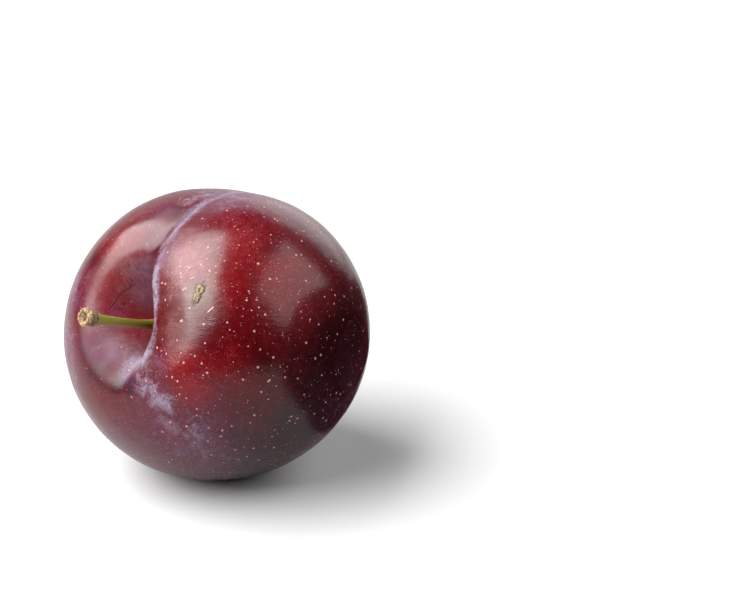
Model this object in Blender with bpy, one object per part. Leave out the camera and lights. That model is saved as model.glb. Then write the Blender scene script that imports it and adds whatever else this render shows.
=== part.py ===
"""A ripe plum, lying as it rests on a table, with the short stalk it was picked with.

Metres, +Z up. The stalk points along -X and a little up, the seam between the two lobes
runs over the top, and the fruit rests on a small flat spot at z = 0. The origin is the
middle of the footprint of fruit and stalk together.

Each mesh is made in the fruit's own axes: +X from the middle of the fruit to the stalk,
+Z to the seam, and +Y to the lobe that leans over the stalk's hollow. An empty turns
these axes to the way the fruit lies.
"""

import math

import bmesh
import bpy
from mathutils import Vector

# The fruit's body
HALF_WIDTH = 0.0312  # from the middle to the side of a lobe
SEAM_RATIO = 0.958  # seam-to-underside depth, as a share of the width
SHOULDER_HALF = 0.0273  # from the middle to the shoulder round the stalk
BLOSSOM_HALF = 0.0283  # from the middle to the blossom end
FULLNESS = 2.11  # 2 is a plain ellipse, and more is boxier
SHOULDER_DROP_TO_SEAM = 0.02  # how far the body leans, as a slope
SHOULDER_DROP_TO_LIP = 0.03
LIP_LOBE_RISE = 0.015

# The hollow that the stalk grows from, which reaches differently far on each side
HOLLOW_DEPTH = 0.0105
HOLLOW_POWER = 1.85
HOLLOW_POWER_LIP = 2.17  # steeper on the lip's side
HOLLOW_BLEND = 0.0012
HOLLOW_REACH_SEAM = 0.0099
HOLLOW_REACH_UNDER = 0.0080
HOLLOW_REACH_OPEN = 0.0098
HOLLOW_REACH_LIP = 0.0030
HOLLOW_OFFSET = 0.0006

# The lip's lobe rolls over into the hollow in a wide soft shoulder
SHOULDER_DEPTH = 0.0050
SHOULDER_REACH = 0.0105
SHOULDER_FLAT = 0.906  # how much rounder it is than the hollow along the seam
SHOULDER_POWER = 2.04
SHOULDER_BLEND = 0.0029

# The seam: a wide soft valley with a fine crease along it
VALLEY_DEPTH = 0.0034
VALLEY_REACH_OPEN = 0.0095
VALLEY_REACH_LIP = 0.0079
CREASE_DEPTH = 0.0009
CREASE_REACH = 0.0008
SEAM_FADE = 2.2  # the seam grows shallow towards the blossom end
SEAM_START = 0.0016
SEAM_PULL = 0.00335  # beside the hollow, the seam bends away from the lip's lobe by this much
SEAM_PULL_AT = 0.0106
SEAM_PULL_REACH = 0.0091
SEAM_PULL_REACH_OUT = 0.0062
SEAM_PULL_WIDTH = 0.0076

# The blossom end's small dimple
DIMPLE_DEPTH = 0.0008
DIMPLE_REACH = 0.0060

# The stalk, a curved shaft that ends in the knob it broke off at
STALK_TIP = 0.0364  # from the middle of the fruit, along its axis
STALK_RADIUS = 0.0010
STALK_FOOT_RADIUS = 0.0012
KNOB_RADIUS = 0.0018
KNOB_LENGTH = 0.0030
STALK_LEAN_DOWN = 0.06
STALK_LEAN_OPEN = 0.03
STALK_CURVE = 0.0009  # the tip ends this much above a straight shaft's
STALK_POINTS = 15
GAP = 0.0003  # between the stalk's foot and the floor of the hollow

# How the fruit lies
AXIS_RISE = math.radians(24.5)  # of the stalk above level
SEAM_ROLL = math.radians(3.5)
REST_DEPTH = 0.0008  # the flat spot's depth, which makes it about 14 mm across

# The mesh
RINGS = 48
SEGMENTS = 64
RING_CROWDING = 1.5  # rings crowd towards the stalk
SEGMENT_CROWDING = 0.55  # segments crowd towards the seam


def clear_scene():
    for old in list(bpy.data.objects):
        bpy.data.objects.remove(old, do_unlink=True)


def plain_material(name, color, roughness):
    material = bpy.data.materials.new(name)
    material.use_nodes = True
    shader = material.node_tree.nodes["Principled BSDF"]
    shader.inputs["Base Color"].default_value = (*color, 1.0)
    shader.inputs["Roughness"].default_value = roughness
    shader.inputs["Metallic"].default_value = 0.0
    return material


def bell(value, power=2.0):
    return math.exp(-(abs(value) ** power))


def step_up(value):
    return 1.0 / (1.0 + math.exp(-max(value, -60.0)))


def body_point(polar, around):
    """A point of the body before its seam and hollow; polar is the angle from the stalk."""
    along = math.cos(polar)
    out = math.sin(polar)
    half_length = SHOULDER_HALF if along > 0 else BLOSSOM_HALF
    swell = (abs(along) ** FULLNESS + out**FULLNESS) ** (-1 / FULLNESS)
    to_seam = HALF_WIDTH * SEAM_RATIO * out * swell * math.cos(around)
    to_lip = HALF_WIDTH * out * swell * math.sin(around)
    forward = half_length * along * swell
    forward -= SHOULDER_DROP_TO_SEAM * to_seam + SHOULDER_DROP_TO_LIP * to_lip
    return Vector((forward, to_lip, to_seam + LIP_LOBE_RISE * to_lip))


def from_seam(point):
    """Distance from the seam, which bends a little beside the hollow."""
    past = point.z - SEAM_PULL_AT
    reach = SEAM_PULL_REACH_OUT if past > 0 else SEAM_PULL_REACH
    return point.y + SEAM_PULL * bell(past / reach) * bell(point.y / SEAM_PULL_WIDTH)


def seam_depth(point, polar):
    """How deep the seam is here: nothing on the underside, and less towards the blossom."""
    aside = from_seam(point)
    valley_reach = VALLEY_REACH_LIP if aside > 0 else VALLEY_REACH_OPEN
    valley = VALLEY_DEPTH * bell(aside / valley_reach)
    crease = CREASE_DEPTH * bell(aside / CREASE_REACH, 1.5)
    towards_stalk = ((1 + math.cos(polar)) / 2) ** SEAM_FADE
    return (valley + crease) * towards_stalk * step_up(point.z / SEAM_START) * math.sqrt(math.sin(polar))


def hollow_depth(point):
    """How far the stalk's hollow and the lip's soft shoulder lower the skin here."""
    aside = from_seam(point)
    y = aside + HOLLOW_OFFSET
    reach_z = HOLLOW_REACH_SEAM if point.z > 0 else HOLLOW_REACH_UNDER
    reach_y = HOLLOW_REACH_LIP if y > 0 else HOLLOW_REACH_OPEN
    distance = math.hypot(point.z / reach_z, y / reach_y)
    power = HOLLOW_POWER + (HOLLOW_POWER_LIP - HOLLOW_POWER) * step_up(y / HOLLOW_BLEND)
    hollow = HOLLOW_DEPTH * bell(distance, power)
    roll = math.hypot(aside, point.z * SHOULDER_FLAT) / SHOULDER_REACH
    return hollow + SHOULDER_DEPTH * bell(roll, SHOULDER_POWER) * step_up(y / SHOULDER_BLEND)


def skin_point(polar, around):
    point = body_point(polar, around)
    outward = Vector((math.cos(polar), math.sin(polar) * math.sin(around), math.sin(polar) * math.cos(around)))
    point -= outward * seam_depth(point, polar)
    if polar < math.pi / 2:
        point.x -= hollow_depth(point)
    else:
        point.x += DIMPLE_DEPTH * bell(math.hypot(point.y, point.z) / DIMPLE_REACH)
    return point


def ring_angle(ring):
    return math.pi * (ring / RINGS) ** RING_CROWDING


def segment_angle(segment):
    even = 2 * math.pi * segment / SEGMENTS
    return even - SEGMENT_CROWDING * math.sin(even)


def flatten_spot(bm, down):
    """Cuts the lowest sliver off and closes it with one flat face."""
    lowest = max(vertex.co.dot(down) for vertex in bm.verts)
    everything = bm.verts[:] + bm.edges[:] + bm.faces[:]
    spot_middle = down * (lowest - REST_DEPTH)
    bmesh.ops.bisect_plane(bm, geom=everything, plane_co=spot_middle, plane_no=down, clear_outer=True)
    bmesh.ops.holes_fill(bm, edges=[edge for edge in bm.edges if edge.is_boundary])


def make_fruit(down):
    bm = bmesh.new()
    stalk_pole = bm.verts.new(skin_point(0.0, 0.0))
    blossom_pole = bm.verts.new(skin_point(math.pi, 0.0))
    rings = [
        [bm.verts.new(skin_point(ring_angle(ring), segment_angle(segment))) for segment in range(SEGMENTS)]
        for ring in range(1, RINGS)
    ]
    for segment in range(SEGMENTS):
        after = (segment + 1) % SEGMENTS
        bm.faces.new((stalk_pole, rings[0][after], rings[0][segment]))
        bm.faces.new((blossom_pole, rings[-1][segment], rings[-1][after]))
        for inner, outer in zip(rings, rings[1:]):
            bm.faces.new((inner[segment], inner[after], outer[after], outer[segment]))
    flatten_spot(bm, down)
    bmesh.ops.recalc_face_normals(bm, faces=bm.faces)
    mesh = bpy.data.meshes.new("fruit")
    bm.to_mesh(mesh)
    bm.free()
    mesh.shade_smooth()
    mesh.set_sharp_from_angle(angle=math.radians(50))
    mesh.materials.append(plain_material("plum_skin", (0.19, 0.02, 0.03), 0.32))
    fruit = bpy.data.objects.new("fruit", mesh)
    bpy.context.collection.objects.link(fruit)
    return fruit


def stalk_radius(distance, length):
    """The shaft flares a little at its foot, and swells into the knob at its tip."""
    foot = (STALK_FOOT_RADIUS - STALK_RADIUS) * bell(distance / (2 * STALK_FOOT_RADIUS))
    knob_start = length - KNOB_LENGTH
    knob = (KNOB_RADIUS - STALK_RADIUS) * step_up((distance - knob_start) / (KNOB_LENGTH / 10))
    return STALK_RADIUS + foot + knob


def foot_height():
    """How far up the fruit's axis the stalk's foot clears the sloping floor of the hollow."""
    turns = [2 * math.pi * turn / 16 for turn in range(16)]
    rim = [
        Vector((0, STALK_FOOT_RADIUS * math.sin(turn) - HOLLOW_OFFSET, STALK_FOOT_RADIUS * math.cos(turn)))
        for turn in turns
    ]
    return SHOULDER_HALF - min(hollow_depth(point) for point in rim) + GAP


def make_stalk():
    foot = foot_height()
    length = STALK_TIP - foot
    curve = bpy.data.curves.new("stalk", "CURVE")
    curve.dimensions = "3D"
    curve.bevel_depth = 1.0  # each point's radius is then the shaft's radius there
    curve.bevel_resolution = 4
    curve.use_fill_caps = True
    spline = curve.splines.new("POLY")
    spline.points.add(STALK_POINTS - 1)
    for index, point in enumerate(spline.points):
        share = index / (STALK_POINTS - 1)
        distance = length * share
        up = STALK_CURVE * share**2 - STALK_LEAN_DOWN * distance
        point.co = (foot + distance, -HOLLOW_OFFSET - STALK_LEAN_OPEN * distance, up, 1.0)
        point.radius = stalk_radius(distance, length)
    curve.materials.append(plain_material("stalk", (0.33, 0.36, 0.08), 0.6))
    stalk = bpy.data.objects.new("stalk", curve)
    bpy.context.collection.objects.link(stalk)
    return stalk


def world_points(things):
    bpy.context.view_layer.update()
    graph = bpy.context.evaluated_depsgraph_get()
    points = []
    for thing in things:
        evaluated = thing.evaluated_get(graph)
        points += [evaluated.matrix_world @ vertex.co for vertex in evaluated.to_mesh().vertices]
        evaluated.to_mesh_clear()
    return points


def middle(values):
    return (min(values) + max(values)) / 2


def build_plum():
    clear_scene()
    axes = bpy.data.objects.new("plum_axes", None)
    bpy.context.collection.objects.link(axes)
    axes.rotation_euler = (SEAM_ROLL, -AXIS_RISE, math.pi)
    down = axes.rotation_euler.to_matrix().inverted() @ Vector((0, 0, -1))
    pieces = [make_fruit(down), make_stalk()]
    for piece in pieces:
        piece.parent = axes
    points = world_points(pieces)
    axes.location.x = -middle([point.x for point in points])
    axes.location.y = -middle([point.y for point in points])
    axes.location.z = -min(point.z for point in points)
    bpy.context.view_layer.update()


build_plum()
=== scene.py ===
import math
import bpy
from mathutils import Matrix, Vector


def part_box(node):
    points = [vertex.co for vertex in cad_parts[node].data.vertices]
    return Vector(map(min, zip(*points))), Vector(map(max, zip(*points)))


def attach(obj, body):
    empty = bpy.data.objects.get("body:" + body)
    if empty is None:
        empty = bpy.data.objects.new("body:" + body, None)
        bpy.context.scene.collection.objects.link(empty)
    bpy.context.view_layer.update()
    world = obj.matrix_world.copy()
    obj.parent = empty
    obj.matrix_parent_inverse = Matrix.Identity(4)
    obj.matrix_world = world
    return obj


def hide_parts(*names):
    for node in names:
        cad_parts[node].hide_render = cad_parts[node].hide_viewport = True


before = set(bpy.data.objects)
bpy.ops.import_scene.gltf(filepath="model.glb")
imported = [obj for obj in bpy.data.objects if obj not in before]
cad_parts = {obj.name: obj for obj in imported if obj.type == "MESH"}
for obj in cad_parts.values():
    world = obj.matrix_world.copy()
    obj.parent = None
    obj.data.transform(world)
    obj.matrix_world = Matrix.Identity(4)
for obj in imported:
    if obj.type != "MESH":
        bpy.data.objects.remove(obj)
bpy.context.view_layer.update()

# The looks of one ripe plum: a finely modelled fruit and stalk in place of the plain CAD ones.
# All sizes are in metres. Shapes are made in the fruit's own axes and then turned to the way it
# lies: +X from the middle of the fruit to the stalk, +Z to the seam, +Y to the lobe with the lip.
# A place on the skin is given as (polar, around), in degrees: polar is the angle from the stalk,
# and around is the angle from the seam towards the lip.

from types import SimpleNamespace

import bmesh
import bpy
import numpy as np
from mathutils import Euler, Matrix, Vector, noise

MM = 0.001

# The fruit's body, as in the CAD model
HALF_WIDTH = 0.0312
SEAM_RATIO = 0.958
SHOULDER_HALF = 0.0273
BLOSSOM_HALF = 0.0283
FULLNESS = 2.11
SHOULDER_DROP_TO_SEAM = 0.02
SHOULDER_DROP_TO_LIP = 0.03
LIP_LOBE_RISE = 0.015

# The hollow that the stalk grows from, which reaches differently far on each side
HOLLOW_DEPTH = 0.0105
HOLLOW_POWER = 1.85
HOLLOW_POWER_LIP = 2.17  # steeper on the lip's side
HOLLOW_BLEND = 0.0012
HOLLOW_REACH_SEAM = 0.0099
HOLLOW_REACH_UNDER = 0.0080
HOLLOW_REACH_OPEN = 0.0098
HOLLOW_REACH_LIP = 0.0030
HOLLOW_OFFSET = 0.0006

# The lip's lobe rolls over into the hollow in a wide soft shoulder
SHOULDER_DEPTH = 0.0050
SHOULDER_REACH = 0.0105
SHOULDER_FLAT = 0.906  # how much rounder it is than the hollow along the seam
SHOULDER_POWER = 2.04
SHOULDER_BLEND = 0.0029

# The seam: a wide soft valley with a fine crease along it
VALLEY_DEPTH = 0.0034
VALLEY_REACH_OPEN = 0.0095
VALLEY_REACH_LIP = 0.0079
CREASE_DEPTH = 0.0009
CREASE_REACH = 0.0008
SEAM_FADE = 2.2  # the seam grows shallow towards the blossom end
SEAM_START = 0.0016
SEAM_PULL = 0.00335  # beside the hollow, the seam bends away from the lip's lobe by this much
SEAM_PULL_AT = 0.0106
SEAM_PULL_REACH = 0.0091
SEAM_PULL_REACH_OUT = 0.0062
SEAM_PULL_WIDTH = 0.0076

# The blossom end's small dimple, and the scar in it
DIMPLE_DEPTH = 0.0008
DIMPLE_REACH = 0.0060
SCAR_REACH = 0.0011

# How the fruit lies
AXIS_RISE = math.radians(24.5)
SEAM_ROLL = math.radians(3.5)
TURN = Euler((SEAM_ROLL, -AXIS_RISE, math.pi)).to_matrix()
REST_DEPTH = 0.0008  # of the flat spot
REST_SOFTNESS = 0.0002

# Unevenness of the skin: (size of a lump, height)
LUMPS = ((0.0070, 0.00010), (0.0022, 0.000028))

# The corky scab on the lip's lobe
SCAB_PLACE = (30.0, 57.4)
SCAB_TURN = math.radians(-56)  # its long way, from the way that polar grows
SCAB_HALF_LENGTH = 0.0018
SCAB_HALF_WIDTH = 0.00078
SCAB_TAPER = 0.25  # how much narrower it is at its far end
SCAB_RISE = 0.00022
SCAB_CRACK = 0.00020
SCAB_GROOVE = 0.3 * SCAB_RISE  # round its edge
SCAB_RAGGED = ((0.6 * MM, 0.32, 3.0), (0.25 * MM, 0.18, 5.0))  # its outline: size, strength and seed
SCAB_WAIST = (0.15, 0.15, 0.55)  # in half lengths from its middle, how far it reaches and how deep
SCAB_SOFTNESS = 0.05
SCAB_CRACK_SIZE = 0.5 * MM
SCAB_CRACK_WIDTH = 0.10
SCAB_EDGE = (1.22, 0.22)  # its dark edge, in half sizes from its middle, and how far that reaches
SCAB_HALO = (2.6, 1.35)  # how much wider the dull halo is, and its reach
SCAB_NEAR = 4 * SCAB_HALF_LENGTH  # nothing of it shows further off

# The bloom along the rolled edge of the lip's lobe: polar, around, reach in millimetres, strength
LIP_LINE = (
    (74, 0, 1, 0.45), (58, -0.5, 1, 0.65), (47, -0.5, 0.8, 0.5),
    (36, 0.5, 0.8, 0.42), (31, 3.5, 0.8, 0.38), (26, 3.5, 0.9, 0.6),
    (21.9, 7, 1.1, 0.85), (18, 11, 1.2, 1), (14.7, 18.5, 1.2, 1),
    (11.6, 29.7, 1, 1), (8.7, 44.4, 0.7, 0.9), (7.6, 69.8, 0.45, 0.8),
    (8.7, 95.8, 0.7, 0.5), (10.1, 116.4, 0.9, 0.5), (12, 137, 1.3, 1),
    (13.4, 157, 2, 1.5), (15, 183, 2.3, 0.66), (18.5, 182, 1.9, 0.55),
)

# The seam's pale line, haze and dark crease, whose dark is painted shade in the crease: how far each
# reaches to the side, the polar angle in degrees where it begins, and how softly it begins, in radians
SEAM_LINE = (0.60 * MM, 40, 0.03)
SEAM_HAZE = (1.7 * MM, 30, 0.08)
SEAM_CREASE_SHADE = (0.13 * MM, 45, 0.04)
SEAM_HAZE_SHIFT = 0.2 * MM
SEAM_HAZE_BLOOM = 0.62  # strength of the thick bloom in the haze, and next that of its tint
SEAM_HAZE_TINT = 0.9
SEAM_END = (105, 0.15)  # where all of them end, and how softly
SEAM_SIDE = 2 * MM  # how softly they leave the underside, which has no seam
OPEN_SIDE = 4 * MM  # how softly the lobe without the lip begins
HOLLOW_SHRINK = 0.75  # how much smaller the freckles are in the hollow
OPEN_SHRINK = 0.45  # and on the open lobe's half that holds the stalk
FIBRE_PITCH = 0.35  # how fast the skin's grain changes along its hairs, for each radian of polar

# The mesh of the skin: its rings and segments crowd towards the stalk, the seam and the scab
RINGS = 250
SEGMENTS = 330
STALK_CROWDING = 0.3
STALK_CROWDING_START = 0.05
SEAM_CROWDING = 1.6
SEAM_CROWDING_REACH = 0.3
SCAB_CROWDING = 2.6
SCAB_CROWDING_REACH = (0.07, 0.16)  # in polar and around, in radians

# The stalk, as in the CAD model
STALK_FOOT = 0.0178
STALK_LENGTH = 0.0186
STALK_LEAN_DOWN = 0.06
STALK_LEAN_OPEN = 0.03
STALK_CURVE = 0.0009
STALK_SUNK = 0.0045  # how much of its foot is hidden in the fruit
STALK_RINGS = 150
STALK_SIDES = 72
STALK_TIP_CROWDING = 0.7  # rings crowd towards the tip
STALK_SMOOTHING = (1, 2, 3, 2, 1)  # weights of neighbouring rings
# Distance from the tip and radius, both in millimetres: the two rings of the knob, then the shaft
STALK_PROFILE = (
    (0, 1.52), (0.3, 1.78), (0.95, 1.76), (1.25, 1.4),
    (1.6, 1.5), (2.1, 1.62), (2.6, 1.4), (3.2, 1.12),
    (4.5, 0.98), (9, 0.88), (14, 0.82), (17.5, 0.95),
    (20, 1.25),
)
# The knob's broken end: radius and depth below the tip, both in millimetres
STALK_END = ((1.30, -0.06), (1.05, 0.05), (0.75, 0.34), (0.40, 0.42), (0.12, 0.36))
STALK_END_RADIUS = 1.4 * MM  # points nearer the axis than this and nearer the tip than the next are on it
STALK_END_DEPTH = 0.6 * MM
STALK_RECESS_SHADE = 1.0 * MM  # radius of the dark recess in it, which is painted shade
KNOB_START = 2.9 * MM  # from the tip
# Relief of the stalk's surface: long ribs all along, and bumps and cracks on the knob
RIB_HEIGHT = 0.05 * MM
BUMP_HEIGHT = 0.16 * MM
CRACK_DEPTH = 0.16 * MM
END_BUMP_HEIGHT = 0.12 * MM
END_CRACK_DEPTH = 0.20 * MM

# The camera
VIEW_AZIMUTH = -50.5
VIEW_ELEVATION = 24.0
VIEW_DISTANCE = 0.35
LENS_MM = 83.5
SENSOR_MM = 36.0
PLUM_LEFT = 0.2103  # of the picture's width, from its middle to the plum's
PLUM_BELOW = 0.0434

# The studio
BOX_DISTANCE = 1.25
# Soft boxes: name, azimuth, elevation and roll in degrees, width and height, radiance
BOXES = (
    ("key", -130.4, 49.8, 63.3, (1.225, 1.735), 10.4),
    ("fill", 30.5, 42, -8, (1.53, 1.0), 2.5),
)
FLOOR_HALF = 3.0
FLOOR_LIT = (0.38, 0.38, 0.38, 1)  # as the plum sees it
FLOOR_SEEN = (0.52, 0.52, 0.52, 1)  # as the camera sees it
FLOOR_FADE = (0.30, 0.60)  # from how far to how far off it turns into the pale backdrop
FLOOR_ROUGHNESS = 0.6
# Dark balls beside the plum, unseen: azimuth, distance from the plum's middle, radius
FLAGS = ((15.1, 0.0604, 0.031), (71, 0.078, 0.020), (52, 0.080, 0.022))
# A dark card low over the floor, unseen: azimuth, distance, radius, height
CARD = (40, 0.060, 0.033, 0.0006)
BALL_DARK = (0.012, 0.004, 0.004, 1)
CARD_DARK = (0.02, 0.01, 0.01, 1)
# Pale parts of the backdrop: azimuth, elevation, reach and softness in degrees, radiance
GLOWS = ((111, 15, 20, 5, 1.85), (148, 8, 26, 9, 0.80))
STUDIO_DARK = 0.01


def bell(value, power=2.0):
    """1 at 0, and falling to 0 on both sides."""
    return np.exp(-np.power(np.abs(value), power))


def step_up(value):
    """A smooth step from 0 to 1."""
    return 1.0 / (1.0 + np.exp(-np.clip(value, -60, 60)))


def side_reach(value, above, below):
    return np.where(value > 0, above, below)


# The fruit's shape


def hollow_distance(y, z):
    """Distance from the stalk's axis, in reaches of the hollow, which differ from side to side."""
    shifted = y + HOLLOW_OFFSET
    reach_y = side_reach(shifted, HOLLOW_REACH_LIP, HOLLOW_REACH_OPEN)
    reach_z = side_reach(z, HOLLOW_REACH_SEAM, HOLLOW_REACH_UNDER)
    return np.hypot(z / reach_z, shifted / reach_y)


def from_seam(y, z):
    """Distance from the seam, which bends away from the lip's lobe beside the hollow."""
    past = z - SEAM_PULL_AT
    reach = side_reach(past, SEAM_PULL_REACH_OUT, SEAM_PULL_REACH)
    return y + SEAM_PULL * bell(past / reach) * bell(y / SEAM_PULL_WIDTH)


def skin_points(polar, around):
    """Smooth points of the skin, for angles in radians."""
    along, out = np.cos(polar), np.sin(polar)
    half_length = np.where(along > 0, SHOULDER_HALF, BLOSSOM_HALF)
    swell = (np.abs(along) ** FULLNESS + np.abs(out) ** FULLNESS) ** (-1 / FULLNESS)
    z = HALF_WIDTH * SEAM_RATIO * out * swell * np.cos(around)
    y = HALF_WIDTH * out * swell * np.sin(around)
    x = half_length * along * swell - SHOULDER_DROP_TO_SEAM * z - SHOULDER_DROP_TO_LIP * y
    z = z + LIP_LOBE_RISE * y

    aside = from_seam(y, z)
    valley = VALLEY_DEPTH * bell(aside / side_reach(aside, VALLEY_REACH_LIP, VALLEY_REACH_OPEN))
    crease = CREASE_DEPTH * bell(aside / CREASE_REACH, 1.5)
    towards_stalk = ((1 + along) / 2) ** SEAM_FADE
    seam = (valley + crease) * towards_stalk * step_up(z / SEAM_START) * np.sqrt(np.abs(out))
    x = x - seam * along
    y = y - seam * out * np.sin(around)
    z = z - seam * out * np.cos(around)

    aside = from_seam(y, z)
    distance = hollow_distance(aside, z)
    to_lip = step_up((aside + HOLLOW_OFFSET) / HOLLOW_BLEND)
    power = HOLLOW_POWER + (HOLLOW_POWER_LIP - HOLLOW_POWER) * to_lip
    shoulder = SHOULDER_DEPTH * bell(np.hypot(aside, z * SHOULDER_FLAT) / SHOULDER_REACH, SHOULDER_POWER)
    shoulder = shoulder * step_up((aside + HOLLOW_OFFSET) / SHOULDER_BLEND)
    hollow = HOLLOW_DEPTH * bell(distance, power) + shoulder
    dimple = DIMPLE_DEPTH * bell(np.hypot(y, z) / DIMPLE_REACH)
    x = np.where(along > 0, x - hollow, x + dimple)
    return np.stack([x, y, z], axis=-1)


def skin_place(place):
    polar, around = place
    return skin_points(np.radians(polar), np.radians(around))


def tangents(place):
    """Unit vectors at a place on the skin: the way that polar grows, the way that around grows, and out."""
    polar, around = place
    half_step = 0.5
    onward = skin_place((polar + half_step, around)) - skin_place((polar - half_step, around))
    onward = onward / np.linalg.norm(onward)
    sideways = skin_place((polar, around + half_step)) - skin_place((polar, around - half_step))
    outward = np.cross(onward, sideways)
    outward = outward / np.linalg.norm(outward)
    return onward, np.cross(outward, onward), outward


def crowded(count, low, high, density):
    """Places from low to high, closer together where the density is larger."""
    fine = np.linspace(low, high, 20001)
    total = np.concatenate([[0.0], np.cumsum(density((fine[1:] + fine[:-1]) / 2))])
    return np.interp(np.linspace(0.0, total[-1], count + 1), total, fine)


def ring_density(polar):
    scab = bell((polar - math.radians(SCAB_PLACE[0])) / SCAB_CROWDING_REACH[0], 4)
    return (polar + STALK_CROWDING_START) ** -STALK_CROWDING + SCAB_CROWDING * scab


def segment_density(around):
    scab = bell((around - math.radians(SCAB_PLACE[1])) / SCAB_CROWDING_REACH[1], 4)
    return 1.0 + SEAM_CROWDING * bell(around / SEAM_CROWDING_REACH) + SCAB_CROWDING * scab


def skin_grid():
    """The skin's (polar, around) for each vertex, and its faces."""
    rings = crowded(RINGS, 0.0, math.pi, ring_density)[1:-1]
    segments = crowded(SEGMENTS, -math.pi, math.pi, segment_density)[:-1]
    polar = np.concatenate([[0.0], np.repeat(rings, SEGMENTS), [np.pi]])
    around = np.concatenate([[0.0], np.tile(segments, RINGS - 1), [0.0]])
    faces = []
    last = len(polar) - 1
    for side in range(SEGMENTS):
        after = (side + 1) % SEGMENTS
        faces.append((0, 1 + after, 1 + side))
        faces.append((last, last - SEGMENTS + side, last - SEGMENTS + after))
        for ring in range(RINGS - 2):
            inner, outer = 1 + ring * SEGMENTS, 1 + (ring + 1) * SEGMENTS
            faces.append((inner + side, inner + after, outer + after, outer + side))
    return polar, around, faces


def noise_at(points, size, seed=0.0):
    """Smooth noise from -1 to 1 at each point, with lumps of about this size."""
    shift = Vector((seed, seed * 0.7, -seed))
    return np.array([noise.noise(Vector(point) / size + shift) for point in points.tolist()])


def scab_masks(points):
    """For each point: how much the scab covers it, its cracks, its dark edge and the dull halo round it."""
    centre = skin_place(SCAB_PLACE)
    onward, sideways, outward = tangents(SCAB_PLACE)
    along = onward * math.cos(SCAB_TURN) + sideways * math.sin(SCAB_TURN)
    across = np.cross(outward, along)
    near = np.linalg.norm(points - centre, axis=1) < SCAB_NEAR
    offset = points[near] - centre
    u = offset @ along / SCAB_HALF_LENGTH
    v = offset @ across / SCAB_HALF_WIDTH
    ragged = sum(strength * noise_at(offset, size, seed) for size, strength, seed in SCAB_RAGGED)
    waist_at, waist_reach, waist_depth = SCAB_WAIST
    waist = waist_depth * bell((u - waist_at) / waist_reach)
    distance = np.hypot(u, v * (1.0 - SCAB_TAPER * u)) + ragged + waist
    cover = step_up((1.0 - distance) / SCAB_SOFTNESS)
    edge_at, edge_reach = SCAB_EDGE
    halo_width, halo_reach = SCAB_HALO
    found = {
        "scab": cover,
        "scab_crack": cover * bell(noise_at(offset, SCAB_CRACK_SIZE, 8.0) / SCAB_CRACK_WIDTH),
        "scab_edge": bell((distance - edge_at) / edge_reach),
        "scab_halo": bell(np.hypot(u, v / halo_width) / halo_reach),
    }
    masks = {name: np.zeros(len(points)) for name in found}
    for name, values in found.items():
        masks[name][near] = values
    return masks


def lay_down(points):
    """Turns points of the fruit's own axes to the way it lies, before it is set on the table."""
    return points @ np.array(TURN).T


def settle_offset(turned):
    """The shift that puts the turned fruit where the CAD fruit stands."""
    low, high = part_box("fruit")
    offset = (np.array(low) + np.array(high)) / 2 - (turned.min(0) + turned.max(0)) / 2
    offset[2] = -REST_DEPTH - turned[:, 2].min()
    return offset


def soft_rest(points):
    """Rounds off what lies below the table into a flat spot."""
    z = points[:, 2]
    points[:, 2] = (z + np.sqrt(z**2 + REST_SOFTNESS**2)) / 2
    return points


def roughened(points, scab):
    """The skin's points with its lumps and its scab."""
    outward = points / np.linalg.norm(points, axis=1, keepdims=True)
    rise = sum(height * noise_at(points, size) for size, height in LUMPS)
    rise = rise + SCAB_RISE * scab["scab"] - SCAB_CRACK * scab["scab_crack"]
    rise = rise - SCAB_GROOVE * scab["scab_edge"]
    return points + outward * rise[:, None]


def spots(points, places):
    """The strongest spot at each point, from rows of polar, around, reach in millimetres, strength."""
    total = np.zeros(len(points))
    for polar, around, reach, strength in places:
        distance = np.linalg.norm(points - skin_place((polar, around)), axis=1)
        total = np.maximum(total, strength * bell(distance / (reach * MM)))
    return total


# Where the thick pale bloom lies
BLOOM_PLACES = (
    (14.5, 174, 2.8, 1), (16, 150, 2, 0.7), (19, 160, 2.2, 0.5),
    (23.9, 154, 2.4, 0.8), (27, 146, 1.8, 0.7), (31, 148, 2, 0.8),
    (34, 143.5, 2.4, 1.1), (40, 146, 3.6, 0.42), (48, 142, 5.5, 0.48),
    (55, 147, 6, 0.42), (63, 146, 6, 0.36), (72, 150, 6, 0.22),
    (40, 165, 5, 0.2), (61, -7, 3.2, 0.5), (71, -5, 5, 0.52),
    (77, 8, 5, 0.55), (84, 2, 6, 0.6), (64, 12, 4, 0.4),
    (90, 20, 6, 0.35), (75, 25, 5, 0.25), (35, -70, 3, 0.3),
    (43, -82, 5, 0.52), (42, -112, 6, 0.5), (46, -135, 6, 0.42),
    (150, 30, 12, 0.45), (172, -60, 9, 0.6), (120, -140, 13, 0.45),
    (105, 110, 8, 0.25), (100, -75, 10, 0.35), (125, 60, 8, 0.3),
)

# Where a thin bluish haze of bloom tints the skin
HAZE_PLACES = (
    (15, -35, 4, 0.85), (21, -22, 3.5, 1), (15, -100, 4, 0.6),
    (16, 175, 4.5, 0.9), (17, -140, 4, 0.8), (22, -120, 3.5, 0.6),
    (26, 8, 2.2, 0.8), (20, 130, 2.6, 0.6), (27, 150, 4.5, 0.7),
    (40, 150, 6, 0.75), (53, 146, 9, 0.9), (66, 150, 10, 0.8),
    (80, 155, 8, 0.5), (45, 172, 7, 0.45), (75, 5, 9, 0.9),
    (85, -10, 9, 0.8), (52, -16, 4, 0.45), (36, 5, 4, 0.6),
    (40, -85, 7, 0.6), (40, -120, 7, 0.5), (62, -165, 9, 0.4),
    (85, 30, 7, 0.3), (140, 0, 22, 0.45), (160, 180, 14, 0.5),
    (110, -120, 18, 0.45), (110, 110, 14, 0.3),
)

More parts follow.
